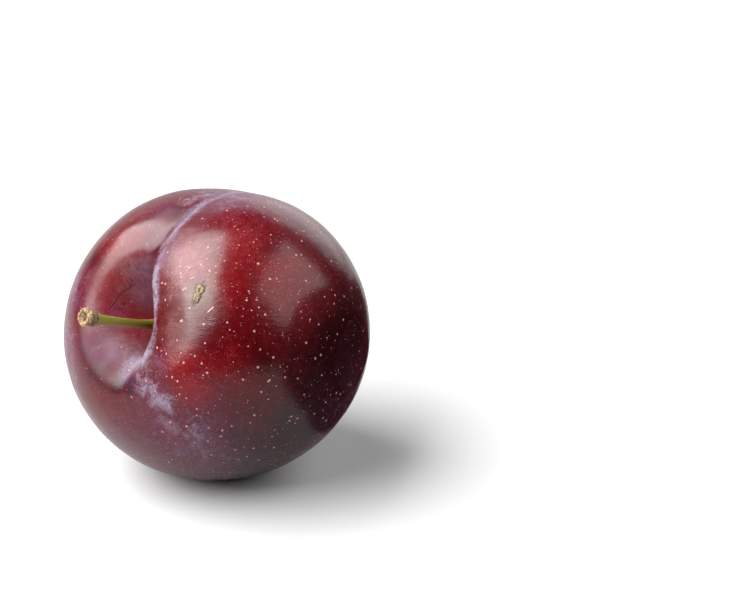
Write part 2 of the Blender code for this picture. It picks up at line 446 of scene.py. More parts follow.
# Where the skin has no gloss
DULL_PLACES = (
    (21.5, -120, 3.4, 1), (21, -138, 3.4, 1), (20, -158, 3.4, 1),
    (25, -104, 2.6, 0.6), (15, -150, 3, 0.6), (24, -42, 3.4, 0.45),
    (26, -62, 3, 0.4), (50, -7, 2.8, 0.6), (40, 14, 3, 0.45),
    (24, 20, 2.6, 0.35), (19, 60, 2.6, 0.45), (20, 92, 2.6, 0.45),
)

# Where a thin pinkish film dulls the skin; on both lobes, where the key light is reflected, its pale pink
# is also a painted highlight
FILM_AND_HIGHLIGHT_PLACES = (
    (32, 34, 4.6, 1), (27, 52, 3.2, 0.75), (21, 42, 2.4, 0.9),
    (18, 80, 2.2, 0.8), (34, 55, 3, 0.45), (23, 72, 2.6, 0.6),
    (26, 96, 2.4, 0.35), (21, 102, 2, 0.5), (38, 18, 3, 0.4),
    (53, 36, 5, 0.16), (32, -36, 5, 0.15), (24, -32, 3.5, 0.75),
    (15, -45, 3.4, 0.6), (18, -62, 3.4, 0.35), (14, -135, 3.4, 0.8),
    (75, 110, 8, 0.1), (110, -30, 12, 0.25), (130, 120, 12, 0.25),
    (100, -150, 12, 0.2),
)

# Where the skin is the brightest red, and where it is nearly black. The near black is partly the skin's own
# dark patches and partly painted shade: dark reflection arcs round the hollow's rim and along the top-left
# edge, the darkened top end of the left lobe's highlight, and the darkened right side.
CRIMSON_PLACES = (
    (60, 30, 8, 0.5), (52, 38, 7, 0.8), (43, 54, 6, 0.7),
    (28, 112, 4.5, 1), (35, 122, 5, 0.9), (37, 104, 4.5, 0.6),
    (43, 98, 5, 0.6), (48, -30, 4, 0.4), (45, 150, 6, 0.4),
    (32, -36, 6, 0.7), (34, 34, 6, 0.6), (18, -60, 5.5, 1.4),
    (12, -90, 4, 1.2), (42, -165, 6, 0.3), (66, 60, 9, 1),
    (95, -60, 13, 0.6), (110, -130, 12, 0.6), (120, 10, 12, 0.7),
    (140, -90, 10, 0.5), (115, 165, 10, 0.4), (135, 75, 10, 0.5),
)
MAROON_AND_SHADE_PLACES = (
    (88, 88, 14, 1), (88, 115, 12, 1), (78, 105, 8, 0.6),
    (95, 70, 9, 0.6), (55, 92, 5, 0.5), (24.5, 170, 2.4, 0.55),
    (25, -176, 2.4, 0.55), (26, -160, 2.4, 0.5), (27, -145, 2.4, 0.45),
    (28, -128, 2.4, 0.35), (38, -58, 2.6, 0.6), (45, -70, 3.5, 0.4),
    (51, -6, 2.4, 0.35), (62, 45, 4, 0.3), (90, 140, 12, 0.9),
    (80, 130, 10, 0.7), (150, 150, 12, 0.6), (120, -60, 9, 0.6),
)


def lip_mask(points):
    """1 on the rolled edge of the lip's lobe, which the bloom covers."""
    strength = np.zeros(len(points))
    for row, onward in zip(LIP_LINE, LIP_LINE[1:]):
        start, end = skin_place(row[:2]), skin_place(onward[:2])
        way = end - start
        share = np.clip((points - start) @ way / (way @ way), 0, 1)
        gap = np.linalg.norm(points - start - share[:, None] * way, axis=1)
        reach = row[2] + (onward[2] - row[2]) * share
        height = row[3] + (onward[3] - row[3]) * share
        strength = np.maximum(strength, height * bell(gap / (reach * MM), 3))
    return strength


def along_seam(polar, z, start, softness):
    """1 along the seam from a polar angle in degrees to where it fades out, and 0 elsewhere."""
    end, end_softness = SEAM_END
    begun = step_up((polar - np.radians(start)) / softness)
    faded = step_up((np.radians(end) - polar) / end_softness)
    return begun * faded * step_up(z / SEAM_SIDE)


def seam_masks(polar, bent, beside, z):
    """The seam's pale line, haze and dark crease, whose dark is painted shade, at each point."""
    reach, *start = SEAM_LINE
    line = bell(beside / reach, 1.5) * along_seam(polar, z, *start)
    reach, *start = SEAM_HAZE
    haze = bell((beside - SEAM_HAZE_SHIFT) / reach) * along_seam(polar, z, *start)
    reach, *start = SEAM_CREASE_SHADE
    crease = bell(bent / reach, 1.5) * along_seam(polar, z, *start)
    return line, haze, crease


def freckle_spread(bent, z):
    """How large the freckles are: small in the hollow, and less so round it on the open side."""
    hollow = bell(hollow_distance(bent, z), HOLLOW_POWER)
    open_side = step_up(-bent / OPEN_SIDE)
    return 1.0 - np.maximum(HOLLOW_SHRINK * hollow, OPEN_SHRINK * open_side)


def skin_masks(polar, around, points):
    """What the skin's material reads at each point: how much there is of each thing."""
    beside, z = points[:, 1], points[:, 2]
    bent = from_seam(beside, z)
    line, haze, crease = seam_masks(polar, bent, beside, z)
    stalk_half = polar < np.pi / 2
    return {
        "line": line,
        # painted shade along the seam's crease
        "crease": crease,
        "lip": lip_mask(points),
        "dull": spots(points, DULL_PLACES),
        "bloom": np.maximum(spots(points, BLOOM_PLACES), SEAM_HAZE_BLOOM * haze),
        "haze": np.maximum(spots(points, HAZE_PLACES), SEAM_HAZE_TINT * haze),
        "film": spots(points, FILM_AND_HIGHLIGHT_PLACES),
        # the dark places lower the redness: partly the skin's own dark, partly painted shade and painted
        # dark reflections
        "redness": spots(points, CRIMSON_PLACES) - spots(points, MAROON_AND_SHADE_PLACES),
        "freckles": np.where(stalk_half, freckle_spread(bent, z), 1.0),
        "scar": np.where(stalk_half, 0.0, bell(np.hypot(bent, z) / SCAR_REACH, 4)),
        "fibre": np.stack([np.cos(around), np.sin(around), FIBRE_PITCH * polar], axis=-1),
    }


def pick(rows, columns):
    """One value from each row."""
    return np.take_along_axis(rows, columns[:, None], 1)[:, 0]


def add_cube_map(mesh, points):
    """A UV map of six square charts, one for each side of a cube round the fruit."""
    ways = points / np.linalg.norm(points, axis=1, keepdims=True)
    corners = np.zeros(len(mesh.loops), np.int64)
    mesh.loops.foreach_get("vertex_index", corners)
    starts = np.zeros(len(mesh.polygons), np.int64)
    mesh.polygons.foreach_get("loop_start", starts)
    counts = np.zeros(len(mesh.polygons), np.int64)
    mesh.polygons.foreach_get("loop_total", counts)
    middles = np.add.reduceat(ways[corners], starts, axis=0)
    axis = np.abs(middles).argmax(1)
    chart = np.repeat(axis * 2 + (pick(middles, axis) > 0), counts)
    axis = np.repeat(axis, counts)
    way = ways[corners]
    depth = np.abs(pick(way, axis))
    across = pick(way, (axis + 1) % 3)
    upward = pick(way, (axis + 2) % 3)
    filled = 0.94 * 2 / np.pi  # each chart leaves a margin of 3% on each side
    u = (0.5 + filled * np.arctan2(across, depth) + chart % 3) / 3
    v = (0.5 + filled * np.arctan2(upward, depth) + chart // 3) / 2
    layer = mesh.uv_layers.new(name="OFBake", do_init=False)
    layer.uv.foreach_set("vector", np.stack([u, v], -1).astype(np.float32).ravel())


def add_object(name, data):
    thing = bpy.data.objects.new(name, data)
    bpy.context.collection.objects.link(thing)
    return thing


def make_piece(name, points, faces, attributes, material):
    """A smooth mesh object; attributes are each vertex's numbers and vectors, by name."""
    mesh = bpy.data.meshes.new(name)
    mesh.from_pydata(points.tolist(), [], faces)
    mesh.shade_smooth()
    for key, values in attributes.items():
        kind, field = ("FLOAT", "value") if values.ndim == 1 else ("FLOAT_VECTOR", "vector")
        layer = mesh.attributes.new(key, kind, "POINT")
        layer.data.foreach_set(field, values.astype(np.float32).ravel())
    mesh.materials.append(material)
    return add_object(name, mesh)


def make_fruit():
    """Makes the fruit, and returns the shift from the turned fruit's own place to where it lies."""
    polar, around, faces = skin_grid()
    smooth = skin_points(polar, around)
    scab = scab_masks(smooth)
    offset = settle_offset(lay_down(smooth))
    points = soft_rest(lay_down(roughened(smooth, scab)) + offset)
    masks = {**skin_masks(polar, around, smooth), **scab}
    fruit = make_piece("plum_fruit", points, faces, masks, skin_material(offset))
    add_cube_map(fruit.data, smooth)
    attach(fruit, "root")
    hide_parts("fruit")
    return offset


# The stalk's shape


def stalk_line(distance):
    """Points of the stalk's middle line, for distances from its foot."""
    share = distance / STALK_LENGTH
    up = STALK_CURVE * share**2 - STALK_LEAN_DOWN * distance
    return np.stack([STALK_FOOT + distance, -HOLLOW_OFFSET - STALK_LEAN_OPEN * distance, up], axis=-1)


def stalk_rings():
    """The distance from the foot and the radius of each ring of the stalk's mesh."""
    profile = np.array(STALK_PROFILE) * MM
    share = np.linspace(0.0, 1.0, STALK_RINGS)
    from_tip = (STALK_LENGTH + STALK_SUNK) * (1.0 - share**STALK_TIP_CROWDING)
    radius = np.interp(from_tip, profile[:, 0], profile[:, 1])
    weights = np.array(STALK_SMOOTHING) / sum(STALK_SMOOTHING)
    radius = np.convolve(np.pad(radius, len(weights) // 2, "edge"), weights, "valid")
    end = np.array(STALK_END) * MM
    from_tip = np.concatenate([from_tip, end[:, 1]])
    return STALK_LENGTH - from_tip, np.concatenate([radius, end[:, 0]])


def stalk_grid():
    """The stalk's smooth points, ring by ring from its foot, and what is known of each."""
    distance, radius = stalk_rings()
    turn = np.tile(2 * np.pi * np.arange(STALK_SIDES) / STALK_SIDES, len(distance))
    grid = SimpleNamespace(rings=len(distance))
    grid.away = np.repeat(distance, STALK_SIDES)
    grid.radius = np.repeat(radius, STALK_SIDES)
    grid.from_tip = STALK_LENGTH - grid.away
    grid.out = np.stack([np.zeros_like(turn), np.cos(turn), np.sin(turn)], -1)
    grid.smooth = stalk_line(grid.away) + grid.out * grid.radius[:, None]
    grid.tip = stalk_line(distance[-1:])
    grid.knob = step_up((KNOB_START - grid.from_tip) / (0.25 * MM))
    grid.bumps = noise_at(grid.smooth, 0.9 * MM, 4.0)
    grid.cracks = bell(noise_at(grid.smooth, 0.7 * MM, 9.0) / 0.13)
    grid.end_face = (grid.radius < STALK_END_RADIUS) & (grid.from_tip < STALK_END_DEPTH)
    return grid


def along_stalk(grid, stretch):
    """Where each point is on the stalk's grain: round it, and along it by so much per metre."""
    return np.stack([grid.out[:, 1], grid.out[:, 2], grid.away * stretch], -1)


def stalk_points(grid):
    """The stalk's points with its ribs, bumps, cracks and broken end, and then the point at its tip."""
    rise = RIB_HEIGHT * noise_at(along_stalk(grid, 60), 0.45, 2.0)
    rise += grid.knob * (BUMP_HEIGHT * grid.bumps - CRACK_DEPTH * grid.cracks)
    points = grid.smooth + grid.out * rise[:, None]
    end = grid.end_face
    points[end, 0] += END_BUMP_HEIGHT * grid.bumps[end] - END_CRACK_DEPTH * grid.cracks[end]
    return np.concatenate([points, grid.tip])


def stalk_faces(rings):
    """The stalk's sides, a fan of triangles round its tip, and a flat face under its foot."""
    faces = []
    sides = [(side, (side + 1) % STALK_SIDES) for side in range(STALK_SIDES)]
    for ring in range(rings - 1):
        low, high = ring * STALK_SIDES, (ring + 1) * STALK_SIDES
        faces += [(low + side, low + after, high + after, high + side) for side, after in sides]
    tip = rings * STALK_SIDES
    last = tip - STALK_SIDES
    faces += [(last + side, last + after, tip) for side, after in sides]
    faces.append(tuple(reversed(range(STALK_SIDES))))
    return faces


def stalk_masks(grid):
    """What the stalk's material reads at each point, and then at the point at its tip."""
    # dark on the collar, and painted shade in the groove between the knob's rings and in the neck under
    # them
    collar_and_shade = bell((grid.from_tip - 2.3 * MM) / (0.75 * MM)) + bell((grid.from_tip - 1.2 * MM) / (0.22 * MM))
    masks = {
        "knob": grid.knob,
        "collar_and_shade": collar_and_shade,
        # painted shade in the recess of the broken end
        "recess_shade": grid.end_face * step_up((STALK_RECESS_SHADE - grid.radius) / (0.12 * MM)),
        "cracks": grid.knob * grid.cracks,
        "foot": np.clip(grid.from_tip / STALK_LENGTH, 0, 1),
        "rust": np.clip(-grid.out[:, 2], 0, 1),
    }
    masks = {name: np.append(values, values[-STALK_SIDES:].mean()) for name, values in masks.items()}
    grain = along_stalk(grid, 40)
    masks["grain"] = np.concatenate([grain, grain[-1:]])
    return masks


def make_stalk(offset):
    grid = stalk_grid()
    points = lay_down(stalk_points(grid)) + offset
    stalk = make_piece("plum_stalk", points, stalk_faces(grid.rings), stalk_masks(grid), stalk_material())
    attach(stalk, "root")
    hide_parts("stalk")


# Materials

# A stroke on the skin: its solid core and its fade at each end, in half widths, and how far off the
# skin it ends, from nothing to all
STROKE_CORE = 0.3
STROKE_FADE = 2
STROKE_OFF = (2.5 * MM, 1.5 * MM)


class Nodes:
    """Short ways to make the nodes of a material or a world."""

    def __init__(self, owner):
        owner.use_nodes = True
        self.tree = owner.node_tree

    def put(self, socket, value):
        """Links a node's output to a socket, or sets the socket to a number or a colour."""
        if isinstance(value, bpy.types.NodeSocket):
            self.tree.links.new(value, socket)
        elif value is not None:
            socket.default_value = value

    def make(self, kind, inputs=None, **settings):
        """Makes a node with these inputs, by name or number, and these settings. Returns its outputs."""
        node = self.tree.nodes.new("ShaderNode" + kind)
        for name, value in settings.items():
            setattr(node, name, value)
        for name, value in (inputs or {}).items():
            self.put(node.inputs[name], value)
        return node.outputs

    def seen(self):
        """1 where the camera sees it, and 0 where it only gives light or a reflection."""
        return self.make("LightPath")["Is Camera Ray"]

    def attribute(self, name, output="Fac"):
        """A number of the mesh, or with the output Vector a vector."""
        return self.make("Attribute", attribute_name=name)[output]

    def position(self, kind="Object"):
        return self.make("TexCoord")[kind]

    def noise(self, where, size, detail=2.0, roughness=0.5, distortion=0.0):
        """Noise from 0 to 1 whose features are about this size, in the units of where."""
        inputs = {"Vector": where, "Scale": 1.0 / size, "Detail": detail, "Roughness": roughness}
        return self.make("TexNoise", {**inputs, "Distortion": distortion})["Fac"]

    def math(self, operation, a, b=None, c=None):
        return self.make("Math", {0: a, 1: b, 2: c}, operation=operation)["Value"]

    def vector_math(self, operation, a, b=None):
        return self.make("VectorMath", {0: a, 1: b}, operation=operation)

    def times(self, *values):
        product = values[0]
        for value in values[1:]:
            product = self.math("MULTIPLY", product, value)
        return product

    def most(self, *values):
        largest = values[0]
        for value in values[1:]:
            largest = self.math("MAXIMUM", largest, value)
        return largest

    def total(self, start, *parts):
        """The start, and each part times its strength."""
        for value, strength in parts:
            start = self.math("MULTIPLY_ADD", value, strength, start)
        return start

    def ramp(self, value, low, high, to_low=0.0, to_high=1.0):
        """A smooth step from to_low at low to to_high at high."""
        ends = {"From Min": low, "From Max": high, "To Min": to_low, "To Max": to_high}
        return self.make("MapRange", {"Value": value, **ends}, interpolation_type="SMOOTHSTEP")["Result"]

    def mix(self, amount, a, b):
        """The colour b over the colour a, by an amount from 0 to 1."""
        return self.make("Mix", {"Factor": amount, "A": a, "B": b}, data_type="RGBA")["Result"]

    def threads(self, where, size, thickness, distortion=1.0):
        """Thin wandering threads, as 1 on a thread and 0 off it; thickness is in noise units."""
        wander = self.noise(where, size, 2.0, 0.6, distortion)
        off = self.math("ABSOLUTE", self.math("SUBTRACT", wander, 0.5))
        return self.ramp(off, thickness, 0.0)

    def dots(self, where, spacing, smallest, largest, softness, scale=None):
        """Round dots of mixed sizes, as 1 inside and 0 outside, and each dot's own random number."""
        cells = self.make("TexVoronoi", {"Vector": where, "Scale": 1.0 / spacing})
        lots = self.make("SeparateColor", {"Color": cells["Color"]})
        radius = self.ramp(lots["Red"], 0.0, 1.0, smallest / spacing, largest / spacing)
        if scale is not None:
            radius = self.times(radius, scale)
        edge = self.math("SUBTRACT", radius, cells["Distance"])
        return self.ramp(edge, 0.0, softness / spacing), lots["Green"]

    def dot_product(self, where, start, way):
        """How far each place is past start, along the given way."""
        offset = self.vector_math("SUBTRACT", where, start)["Vector"]
        return self.vector_math("DOT_PRODUCT", offset, way)["Value"]

    def stroke(self, where, start, end, outward, width, wander=None):
        """A stroke on the skin from start to end, as 1 inside and 0 outside; width is to each side."""
        way = end - start
        length = way.length
        way = way / length
        along = self.dot_product(where, start, way)
        beside = self.dot_product(where, start, outward.cross(way).normalized())
        above = self.dot_product(where, start, outward)
        if wander is not None:
            beside = self.math("ADD", beside, wander)
        inside = self.ramp(self.math("ABSOLUTE", beside), width, width * STROKE_CORE)
        fade = width * STROKE_FADE
        ends = self.times(self.ramp(along, 0.0, fade), self.ramp(along, length, length - fade))
        return self.times(inside, ends, self.ramp(self.math("ABSOLUTE", above), *STROKE_OFF))


class Paint(Nodes):
    """A material, and short ways to set its look."""

    def __init__(self, name):
        self.material = bpy.data.materials.new(name)
        super().__init__(self.material)
        self.shader = self.tree.nodes["Principled BSDF"]

    def bump(self, height, metres):
        bumpy = self.make("Bump", {"Strength": 1.0, "Distance": metres, "Height": height})
        self.put(self.shader.inputs["Normal"], bumpy["Normal"])

    def colour(self, value):
        self.put(self.shader.inputs["Base Color"], value)

    def roughness(self, value):
        self.put(self.shader.inputs["Roughness"], value)


# Colours of the skin and of what lies on it
# the darkest red; where the dark places lie it is partly painted shade and painted dark reflections
MAROON = (0.018, 0.0004, 0.0008, 1)
BURGUNDY = (0.066, 0.0008, 0.0022, 1)
CRIMSON = (0.125, 0.0010, 0.0026, 1)
BRUISE = (0.105, 0.0012, 0.003, 1)
# the film's pale pink, partly a painted highlight on both lobes
FILM_AND_HIGHLIGHT = (0.46, 0.28, 0.28, 1)
HAZE = (0.17, 0.10, 0.26, 1)
BLOOM = (0.29, 0.27, 0.345, 1)
FRECKLE = (0.48, 0.24, 0.22, 1)
DASH = (0.52, 0.33, 0.30, 1)
SCORE = (0.020, 0.001, 0.004, 1)
CORK = (0.19, 0.135, 0.070, 1)
CORK_PALE = (0.34, 0.25, 0.15, 1)
CORK_DARK = (0.030, 0.016, 0.008, 1)
HALO = (0.13, 0.105, 0.075, 1)

# Freckles: the space for each, the smallest and the largest radius, and the softness of the edge
BIG_FRECKLES = (1.35 * MM, 0.05 * MM, 0.29 * MM, 0.10 * MM)
SMALL_FRECKLES = (0.72 * MM, 0.02 * MM, 0.16 * MM, 0.07 * MM)
TINY_FRECKLES = (0.43 * MM, 0.01 * MM, 0.10 * MM, 0.05 * MM)
STALK_PITS = (1.1 * MM, 0.05 * MM, 0.30 * MM, 0.10 * MM)

SKIN_ROUGHNESS = 0.195  # where nothing lies on it
SKIN_RELIEF = 0.045 * MM
SKIN_IOR = 1.40
STALK_RELIEF = 0.10 * MM

# Strokes on the skin: start and end places, half width in millimetres
PALE_STROKES = (
    ((32.4, 71.6), (35.3, 67.8), 0.17),
    ((28.7, 43.1), (31.2, 44.3), 0.12),
)
BRUISE_STROKES = (
    ((22.4, -50), (18.8, -80), 1.0),
    ((18.0, -100), (17.0, -70), 0.7),
)
SCORE_STROKES = (
    ((18.1, -86.2), (18.4, -62.0), 0.17),
    ((18.4, -63.0), (18.8, -40.0), 0.15),
    ((20.9, -45.0), (18.7, -46.0), 0.13),
    ((21.4, -42.0), (18.9, -42.0), 0.12),
    ((20.0, -51.0), (18.5, -53.0), 0.11),
    ((15.6, -74.0), (15.3, -68.0), 0.20),
)
# Dark specks in the hollow: polar, around, half width in millimetres
SPECK_PLACES = (
    (22.2, -25.5, 0.2), (20.5, -31.8, 0.18), (17.7, -25.2, 0.22), (19.3, -10, 0.18),
    (16.6, -43.6, 0.17), (14.3, -51.9, 0.18), (23.4, -30, 0.14), (18.4, -32, 0.13),
    (16.6, -35, 0.13), (25.3, -20, 0.13), (16.2, 8, 0.16), (13, 20, 0.15),
    (23.5, 2, 0.15), (28, 0, 0.14),
)


def laid(place, offset):
    """A place on the skin as a point of the laid fruit."""
    return Vector(lay_down(skin_place(place)) + offset)


def laid_stroke(paint, skin, start, end, half_width, wander=None):
    """A stroke between two places on the laid fruit's skin."""
    halfway = ((start[0] + end[0]) / 2, (start[1] + end[1]) / 2)
    outward = Vector(lay_down(tangents(halfway)[2]))
    ends = laid(start, skin.offset), laid(end, skin.offset)
    return paint.stroke(skin.where, *ends, outward, half_width * MM, wander)


def skin_textures(paint, offset):
    """What the skin's layers share: where each point is, and noise of three kinds."""
    where = paint.position()
    skin = SimpleNamespace(offset=offset, where=where)
    skin.mottle = paint.noise(where, 1.3 * MM, 4.0, 0.6)
    skin.grain = paint.noise(where, 0.42 * MM, 2.0, 0.6)
    skin.streaks = paint.noise(paint.attribute("fibre", "Vector"), 0.020, 3.0, 0.6)
    return skin


def red_skin(paint, skin):
    """The skin's red, from nearly black to crimson; where the dark places lie, the near black is partly
    painted shade and painted dark reflections.
    """
    cloud = paint.noise(skin.where, 9 * MM, 3.0, 0.55)
    redness = paint.total(paint.attribute("redness"), (cloud, 0.9), (skin.mottle, 0.85), (skin.grain, 0.75))
    skin.redness = paint.math("SUBTRACT", redness, 0.30)
    colour = paint.mix(paint.ramp(skin.redness, 0.1, 1.0), MAROON, BURGUNDY)
    colour = paint.mix(paint.ramp(skin.redness, 0.9, 1.9), colour, CRIMSON)
    for stroke in BRUISE_STROKES:
        colour = paint.mix(paint.times(laid_stroke(paint, skin, *stroke), 0.8), colour, BRUISE)
    return colour


def add_film(paint, skin, colour):
    """The thin film, in fine hairs that run away from the stalk, and a trace of it everywhere; on both
    lobes its pale pink is partly a painted highlight.
    """
    hairs = paint.ramp(skin.streaks, 0.32, 0.68, 0.35, 1.0)
    skin.film = paint.times(paint.attribute("film"), hairs, paint.ramp(skin.mottle, 0.3, 0.7, 0.5, 1.0))
    trace = paint.times(paint.ramp(skin.mottle, 0.50, 0.75), paint.ramp(skin.streaks, 0.4, 0.7), 0.008)
    return paint.mix(paint.total(trace, (skin.film, 0.30)), colour, FILM_AND_HIGHLIGHT)


def add_haze(paint, skin, colour):
    """The thin bluish haze, in soft clouds."""
    drift = paint.noise(skin.where, 3.4 * MM, 5.0, 0.65, 0.8)
    clouds = paint.times(paint.attribute("haze"), paint.ramp(drift, 0.30, 0.70, 0.25, 1.0))
    skin.haze = paint.times(clouds, paint.ramp(skin.grain, 0.3, 0.7, 0.7, 1.0))
    return paint.mix(paint.times(skin.haze, 0.30), colour, HAZE)


def patch_bloom(paint, skin):
    """Thick bloom in ragged patches of fine threads and specks."""
    place = paint.attribute("bloom")
    wisps = paint.noise(skin.where, 2.6 * MM, 6.0, 0.72, 1.0)
    ragged = paint.math("ADD", paint.ramp(wisps, 0.25, 0.75, -0.5, 0.5), place)
    weave = paint.total(
        paint.ramp(skin.grain, 0.40, 0.65, 0.02, 0.40),
        (paint.threads(skin.where, 1.0 * MM, 0.09), 0.45),
        (paint.threads(skin.where, 0.50 * MM, 0.10), 0.40),
    )
    return paint.times(paint.ramp(ragged, 0.15, 1.05), paint.ramp(place, 0.0, 0.5), weave, 0.72)


def line_bloom(paint, skin):
    """The seam's pale line, rubbed off in places."""
    rubbed = paint.ramp(paint.noise(skin.where, 0.8 * MM, 4.0, 0.7), 0.36, 0.56, 0.15, 1.0)
    specks = paint.ramp(skin.grain, 0.28, 0.50, 0.45, 1.0)
    return paint.times(paint.attribute("line"), specks, rubbed, 0.62)


def lip_bloom(paint, skin):
    """The bloom on the rolled edge of the lip."""
    mottled = paint.ramp(skin.mottle, 0.38, 0.55, 0.35, 1.0)
    specks = paint.ramp(skin.grain, 0.30, 0.50, 0.25, 1.0)
    return paint.times(paint.attribute("lip"), mottled, specks, 0.66)


def add_bloom(paint, skin, colour):
    skin.bloom = paint.most(patch_bloom(paint, skin), line_bloom(paint, skin), lip_bloom(paint, skin))
    return paint.mix(skin.bloom, colour, BLOOM)


def add_dust(paint, skin, colour):
    """Fine pale dust, away from the darkest skin."""
    dust = paint.ramp(paint.noise(skin.where, 0.20 * MM, 1.0, 0.5), 0.58, 0.72)
    dust = paint.times(dust, paint.ramp(skin.mottle, 0.40, 0.62), paint.ramp(skin.redness, 0.5, 1.2))
    return paint.mix(paint.times(dust, 0.16), colour, BLOOM)


def add_crease_shade(paint, skin, colour):
    """The dark crease of the seam: painted shade along its bottom."""
    crease = paint.times(paint.attribute("crease"), paint.ramp(skin.mottle, 0.42, 0.58), 0.5)
    return paint.mix(crease, colour, SCORE)


def add_freckles(paint, skin, colour):
    """Pale freckles of three sizes; the tiny ones are only where the skin is red."""
    scale = paint.attribute("freckles")
    skin.big_freckles, _ = paint.dots(skin.where, *BIG_FRECKLES, scale)
    small, small_lot = paint.dots(skin.where, *SMALL_FRECKLES, scale)
    small = paint.times(small, paint.ramp(small_lot, 0.0, 1.0, 0.25, 0.8))
    tiny, tiny_lot = paint.dots(skin.where, *TINY_FRECKLES)
    tiny = paint.times(tiny, paint.ramp(tiny_lot, 0.4, 1.0, 0.0, 0.75), paint.ramp(skin.redness, 1.1, 1.8))
    freckles = paint.most(skin.big_freckles, small, tiny)
    return paint.mix(paint.times(freckles, 0.85), colour, FRECKLE)


def add_marks(paint, skin, colour):
    """Pale dashes, a dark score with its barbs, and dark specks."""
    skin.pale = paint.most(*[laid_stroke(paint, skin, *stroke) for stroke in PALE_STROKES])
    wander = paint.math("MULTIPLY_ADD", paint.noise(skin.where, 1.2 * MM), 0.5 * MM, -0.25 * MM)
    dark = [laid_stroke(paint, skin, *stroke, wander) for stroke in SCORE_STROKES]
    for polar, around, half_width in SPECK_PLACES:
        start, end = (polar - 0.3, around - 0.5), (polar + 0.3, around + 0.5)
        dark.append(laid_stroke(paint, skin, start, end, half_width))
    skin.dark = paint.most(*dark)
    colour = paint.mix(paint.times(skin.pale, 0.9), colour, DASH)
    return paint.mix(paint.times(skin.dark, 0.92), colour, SCORE)


def add_cork(paint, skin, colour):
    """The scab with its halo, and the scar at the blossom end."""
    skin.cork = paint.most(paint.attribute("scab"), paint.attribute("scar"))
    colour = paint.mix(paint.times(paint.attribute("scab_halo"), 0.55), colour, HALO)
    colour = paint.mix(paint.times(paint.attribute("scab_edge"), 0.85), colour, CORK_DARK)
    corky = paint.mix(paint.ramp(skin.grain, 0.35, 0.65), CORK, CORK_PALE)
    corky = paint.mix(paint.attribute("scab_crack"), corky, CORK_DARK)
    return paint.mix(skin.cork, colour, corky)


def skin_material(offset):
    paint = Paint("plum_skin")
    skin = skin_textures(paint, offset)
    colour = red_skin(paint, skin)
    layers = (add_film, add_haze, add_bloom, add_dust, add_crease_shade, add_freckles, add_marks, add_cork)
    for add_layer in layers:
        colour = add_layer(paint, skin, colour)
    paint.colour(colour)
    dull = (paint.attribute("dull"), 0.42)
    coats = ((skin.bloom, 0.45), (skin.haze, 0.22), (skin.film, 0.08))
    paint.roughness(paint.total(SKIN_ROUGHNESS, dull, *coats, (skin.cork, 0.45), (skin.grain, 0.04)))
    grains = ((skin.mottle, 0.45), (skin.grain, 0.16), (skin.streaks, 0.8))
    marks = ((skin.big_freckles, 0.5), (skin.pale, 1.2), (skin.dark, -0.5))
    paint.bump(paint.total(0.0, *grains, *marks), SKIN_RELIEF)
    paint.shader.inputs["IOR"].default_value = SKIN_IOR
    return paint.material


# Colours of the stalk
SHAFT = (0.21, 0.215, 0.018, 1)
SHAFT_FOOT = (0.17, 0.145, 0.006, 1)
SHAFT_RUST = (0.26, 0.15, 0.07, 1)
SHAFT_PALE = (0.36, 0.30, 0.10, 1)
BARK = (0.045, 0.024, 0.006, 1)
TAN = (0.32, 0.19, 0.075, 1)
STRAW = (0.52, 0.36, 0.20, 1)


def green_shaft(paint, where, mottle, streaks):
    """The shaft, green with paler streaks, brown underneath, and pitted."""
    shaft = paint.mix(paint.ramp(paint.attribute("foot"), 0.15, 0.8), SHAFT, SHAFT_FOOT)
    shaft = paint.mix(paint.times(paint.ramp(streaks, 0.45, 0.75), 0.5), shaft, SHAFT_PALE)
    rusty = paint.times(paint.attribute("rust"), paint.ramp(mottle, 0.3, 0.6, 0.3, 0.9))
    shaft = paint.mix(rusty, shaft, SHAFT_RUST)
    pits, _ = paint.dots(where, *STALK_PITS)
    return paint.mix(paint.times(pits, 0.75), shaft, BARK)


def corky_knob(paint, mottle, cracks):
    """The knob, tan and straw-coloured, and dark on its collar and in its cracks; the dark in the groove
    between its rings, in the neck under them and in the recess of its broken end is painted shade.
    """
    husk = paint.mix(paint.ramp(mottle, 0.35, 0.65), TAN, STRAW)
    collar_and_shade, recess_shade = paint.attribute("collar_and_shade"), paint.attribute("recess_shade")
    for dark, strength in ((collar_and_shade, 0.75), (recess_shade, 0.7), (cracks, 0.8)):
        husk = paint.mix(paint.times(dark, strength), husk, BARK)
    return husk


def stalk_material():
    paint = Paint("plum_stalk")
    where = paint.position()
    streaks = paint.noise(paint.attribute("grain", "Vector"), 0.16, 3.0, 0.6)
    mottle = paint.noise(where, 0.9 * MM, 3.0, 0.6)
    fine = paint.noise(where, 0.28 * MM, 2.0, 0.6)
    knob = paint.attribute("knob")
    cracks = paint.attribute("cracks")
    colour = paint.mix(knob, green_shaft(paint, where, mottle, streaks), corky_knob(paint, mottle, cracks))
    paint.colour(paint.mix(paint.ramp(fine, 0.45, 0.8, 0.0, 0.35), colour, BARK))
    paint.roughness(paint.total(0.50, (knob, 0.30)))
    paint.bump(paint.total(0.0, (streaks, 0.5), (fine, 0.6), (cracks, -0.8)), STALK_RELIEF)
    return paint.material


# The studio


def direction(azimuth, elevation):
    """The unit vector towards a place in the studio; azimuth 0 is the -Y side, and 90 is +X."""
    a, e = math.radians(azimuth), math.radians(elevation)
    return Vector((math.sin(a) * math.cos(e), -math.cos(a) * math.cos(e), math.sin(e)))


